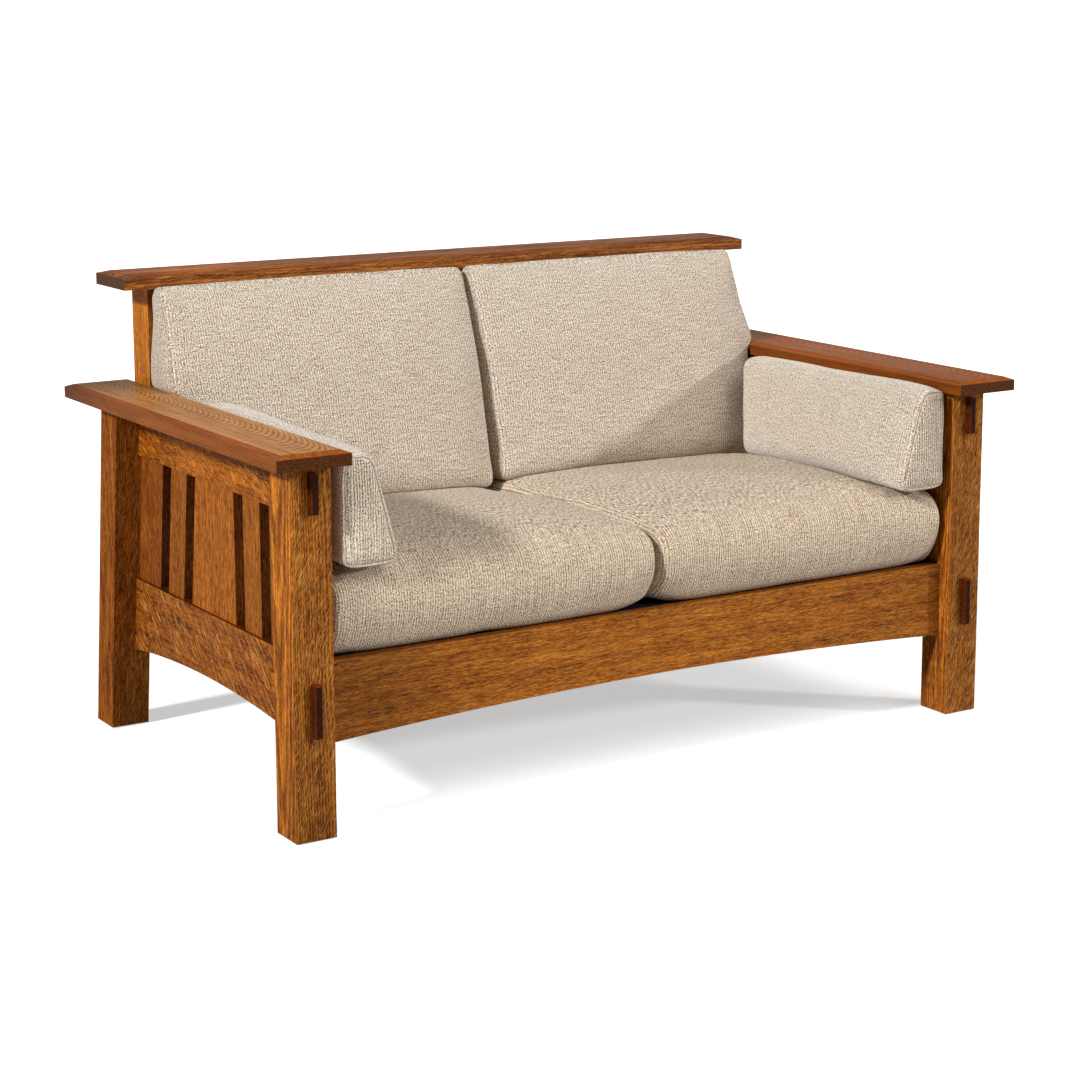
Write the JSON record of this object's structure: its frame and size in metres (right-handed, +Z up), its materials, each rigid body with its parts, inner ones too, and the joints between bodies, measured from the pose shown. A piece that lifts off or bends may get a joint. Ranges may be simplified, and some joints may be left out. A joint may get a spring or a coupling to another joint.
{
  "type": "loveseat",
  "caption": "Two-seat settee with a slatted oak frame, wide bevelled arm caps, raked back legs, an arched front rail and loose tweed cushions.",
  "frame": {"origin": "on the floor, in the middle of the footprint", "axes": "+X from the sitter-side left arm to the right arm seen from the front, -Y to the front, +Z up"},
  "size_m": [1.524, 0.894, 0.8525],
  "materials": {
    "oak": "satin lacquer over amber-brown stained quarter-sawn oak",
    "oak_cap": "satin lacquer over reddish-brown stained oak, plain-sawn grain",
    "end_grain": "lacquered dark end grain",
    "inner_wood": "unfinished pale hardwood",
    "webbing": "woven elastic strap",
    "black_cloth": "thin black woven dust cloth",
    "steel": "zinc-plated steel",
    "nylon": "moulded dark nylon",
    "upholstery": "oatmeal tweed with tan, brown and grey flecks"
  },
  "bodies": {
    "frame": {"front_post_left": "oak", "front_post_right": "oak", "back_leg_left": "oak", "back_leg_right": "oak", "arm_rail_left": "oak", "arm_rail_right": "oak", "side_rail_left": "oak", "side_rail_right": "oak", "centre_slat_left": "oak", "narrow_slat_front_left": "oak", "narrow_slat_rear_left": "oak", "end_slat_front_left": "oak", "end_slat_rear_left": "oak", "centre_slat_right": "oak", "narrow_slat_front_right": "oak", "narrow_slat_rear_right": "oak", "end_slat_front_right": "oak", "end_slat_rear_right": "oak", "front_rail": "oak", "rear_rail": "oak", "back_stile_left": "oak", "back_stile_right": "oak", "back_top_rail": "oak", "back_bottom_rail": "oak", "back_slats": "oak", "arm_cap_left": "oak_cap", "arm_cap_right": "oak_cap", "crest_cap": "oak_cap", "tenon_blocks_left": "end_grain", "tenon_blocks_right": "end_grain", "seat_brace": "inner_wood", "seat_cleat_front": "inner_wood", "seat_cleat_rear": "inner_wood", "seat_cleat_left": "inner_wood", "seat_cleat_right": "inner_wood", "corner_blocks": "inner_wood", "back_spacer_left": "inner_wood", "back_spacer_right": "inner_wood", "arm_dowels": "inner_wood", "crest_dowels": "inner_wood", "webbing_long": "webbing", "webbing_cross": "webbing", "deck_cloth": "black_cloth", "panel_screws": "steel", "back_bolts": "steel", "block_screws": "steel", "foot_glides": "nylon"},
    "seat_left": {"seat_cushion_left": "upholstery"},
    "seat_right": {"seat_cushion_right": "upholstery"},
    "back_left": {"back_cushion_left": "upholstery"},
    "back_right": {"back_cushion_right": "upholstery"},
    "arm_left": {"arm_cushion_left": "upholstery"},
    "arm_right": {"arm_cushion_right": "upholstery"}
  },
  "joints": [
    {"name": "seat_left_draw", "type": "slide", "parent": "frame", "child": "seat_left", "axis": [0, -1, 0], "range_m": [0, 0.78]},
    {"name": "seat_right_draw", "type": "slide", "parent": "frame", "child": "seat_right", "axis": [0, -1, 0], "range_m": [0, 0.78]},
    {"name": "back_left_lift", "type": "slide", "parent": "frame", "child": "back_left", "axis": [0, 0, 1], "range_m": [0, 0.45]},
    {"name": "back_right_lift", "type": "slide", "parent": "frame", "child": "back_right", "axis": [0, 0, 1], "range_m": [0, 0.45]},
    {"name": "arm_left_lift", "type": "slide", "parent": "frame", "child": "arm_left", "axis": [0, 0, 1], "range_m": [0, 0.25]},
    {"name": "arm_right_lift", "type": "slide", "parent": "frame", "child": "arm_right", "axis": [0, 0, 1], "range_m": [0, 0.25]}
  ]
}
